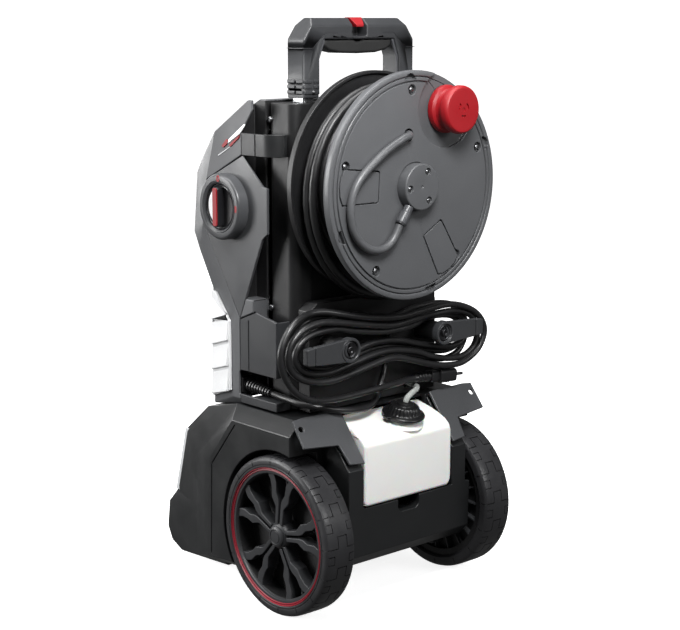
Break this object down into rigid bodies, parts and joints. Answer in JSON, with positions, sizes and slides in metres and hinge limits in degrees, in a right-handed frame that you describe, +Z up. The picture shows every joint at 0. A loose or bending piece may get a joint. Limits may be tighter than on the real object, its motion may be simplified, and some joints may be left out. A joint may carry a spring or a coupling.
{
  "type": "pressure washer",
  "caption": "Upright electric pressure washer with a telescopic handle, transport wheels, a rear hose reel with crank knob, cord hooks with a wound mains lead and a white detergent tank.",
  "frame": {"origin": "on the floor, midway between the two wheels in X and midway between the front toe of the base and the face of the crank knob in Y", "axes": "+Z up, +X towards the side that carries the on/off switch, +Y towards the hose reel at the rear"},
  "size_m": [0.3774, 0.42, 0.7982],
  "materials": {
    "base_plastic": "fine-grained moulding",
    "cover_plastic": "fine-grained moulding",
    "side_plastic": "fine-grained moulding",
    "strap_plastic": "satin moulding",
    "spine_plastic": "fine-grained moulding",
    "light_plastic": "satin moulding",
    "accent_paint": "gloss label film",
    "feet_rubber": "moulded rubber",
    "screw_steel": "zinc plated",
    "switch_black": "satin moulding with a red index",
    "switch_body": "moulded body",
    "hook_plastic": "satin moulding",
    "cord_black": "glossy rubber sheath",
    "plug_black": "soft moulding",
    "handle_plastic": "fine-grained moulding",
    "grip_rubber": "soft grip",
    "tube_aluminium": "anodised",
    "red_plastic": "satin red moulding",
    "reel_black": "satin moulding",
    "reel_grey": "fine-grained moulding",
    "axle_steel": "turned steel",
    "hose_rubber": "satin sheath",
    "fitting_plastic": "moulded fitting",
    "tyre": "block tread",
    "rim_plastic": "fine-grained moulding",
    "tank_white": "translucent blow moulding",
    "cap_black": "moulded cap",
    "clear_tube": "clear flexible tube",
    "motor_iron": "laminated iron and copper",
    "pump_alloy": "die cast",
    "brass": "turned brass"
  },
  "bodies": {
    "machine": {"base_shell": "base_plastic", "front_fascia": "light_plastic", "front_cover": "cover_plastic", "grille_left": "light_plastic", "grille_right": "light_plastic", "cheek_left": "side_plastic", "cheek_right": "side_plastic", "side_panel_left": "side_plastic", "side_panel_right": "side_plastic", "rear_spine": "spine_plastic", "gun_strap_left": "strap_plastic", "gun_strap_right": "strap_plastic", "hook_panel": "spine_plastic", "rear_panel": "base_plastic", "fender_left": "side_plastic", "fender_right": "side_plastic", "accent_left": "accent_paint", "accent_right": "accent_paint", "front_feet": "feet_rubber", "housing_screws": "screw_steel", "switch_bezel": "strap_plastic", "switch_core": "switch_body", "cord_gland": "plug_black", "cord_lead": "cord_black", "cord_hank": "cord_black", "cord_tail": "cord_black", "mains_plug": "plug_black", "tube_guides": "spine_plastic", "reel_axle": "axle_steel", "axle": "axle_steel", "detergent_tank": "tank_white", "suction_tube": "clear_tube", "motor": "motor_iron", "pump": "pump_alloy", "water_inlet": "brass"},
    "wheel_left": {"tyre_left": "tyre", "rim_left": "rim_plastic"},
    "wheel_right": {"tyre_right": "tyre", "rim_right": "rim_plastic"},
    "reel": {"reel_back_flange": "reel_black", "reel_drum": "reel_black", "reel_front_flange": "reel_grey", "reel_cover": "reel_grey", "reel_hub": "reel_grey", "reel_screws": "screw_steel", "crank_spindle": "axle_steel", "hose_sleeve": "fitting_plastic", "hose_stub": "hose_rubber", "hose_coil": "hose_rubber", "hose_end": "fitting_plastic"},
    "crank_knob": {"crank_knob": "red_plastic"},
    "handle": {"handle_frame": "handle_plastic", "handle_grip": "grip_rubber", "handle_tubes": "tube_aluminium"},
    "release_button": {"release_button": "red_plastic"},
    "switch_knob": {"switch_knob": "switch_black"},
    "hook_left": {"cord_hook_left": "hook_plastic"},
    "hook_right": {"cord_hook_right": "hook_plastic"},
    "tank_cap": {"tank_cap": "cap_black"},
    "motor_rotor": {"motor_rotor": "motor_iron"}
  },
  "joints": [
    {"name": "wheel_left_spin", "type": "hinge", "parent": "machine", "child": "wheel_left", "pos_m": [0.15, 0.092, 0.11], "axis": [1, 0, 0], "continuous": true},
    {"name": "wheel_right_spin", "type": "hinge", "parent": "machine", "child": "wheel_right", "pos_m": [-0.15, 0.092, 0.11], "axis": [1, 0, 0], "continuous": true},
    {"name": "reel_spin", "type": "hinge", "parent": "machine", "child": "reel", "pos_m": [0, 0.13, 0.578], "axis": [0, 1, 0], "continuous": true},
    {"name": "knob_spin", "type": "hinge", "parent": "reel", "child": "crank_knob", "pos_m": [-0.0575, 0.19, 0.6776], "axis": [0, 1, 0], "continuous": true},
    {"name": "handle_slide", "type": "slide", "parent": "machine", "child": "handle", "axis": [0, 0, 1], "range_m": [0, 0.33]},
    {"name": "release_press", "type": "slide", "parent": "handle", "child": "release_button", "axis": [0, 0, -1], "range_m": [0, 0.004], "stiffness_N_per_m": 800, "springref_m": -0.001},
    {"name": "switch_turn", "type": "hinge", "parent": "machine", "child": "switch_knob", "pos_m": [0.16, -0.032, 0.545], "axis": [1, 0, 0], "range_deg": [-90, 0]},
    {"name": "hook_left_turn", "type": "hinge", "parent": "machine", "child": "hook_left", "pos_m": [0.0885, 0.146, 0.364], "axis": [0, 1, 0], "range_deg": [0, 180]},
    {"name": "hook_right_turn", "type": "hinge", "parent": "machine", "child": "hook_right", "pos_m": [-0.0885, 0.146, 0.364], "axis": [0, 1, 0], "range_deg": [-180, 0]},
    {"name": "cap_turn", "type": "hinge", "parent": "machine", "child": "tank_cap", "pos_m": [-0.013, 0.145, 0.256], "axis": [0, 0.2079, 0.9781], "range_deg": [0, 360]},
    {"name": "motor_spin", "type": "hinge", "parent": "machine", "child": "motor_rotor", "pos_m": [0, -0.042, 0.4], "axis": [0, 0, 1], "continuous": true}
  ]
}
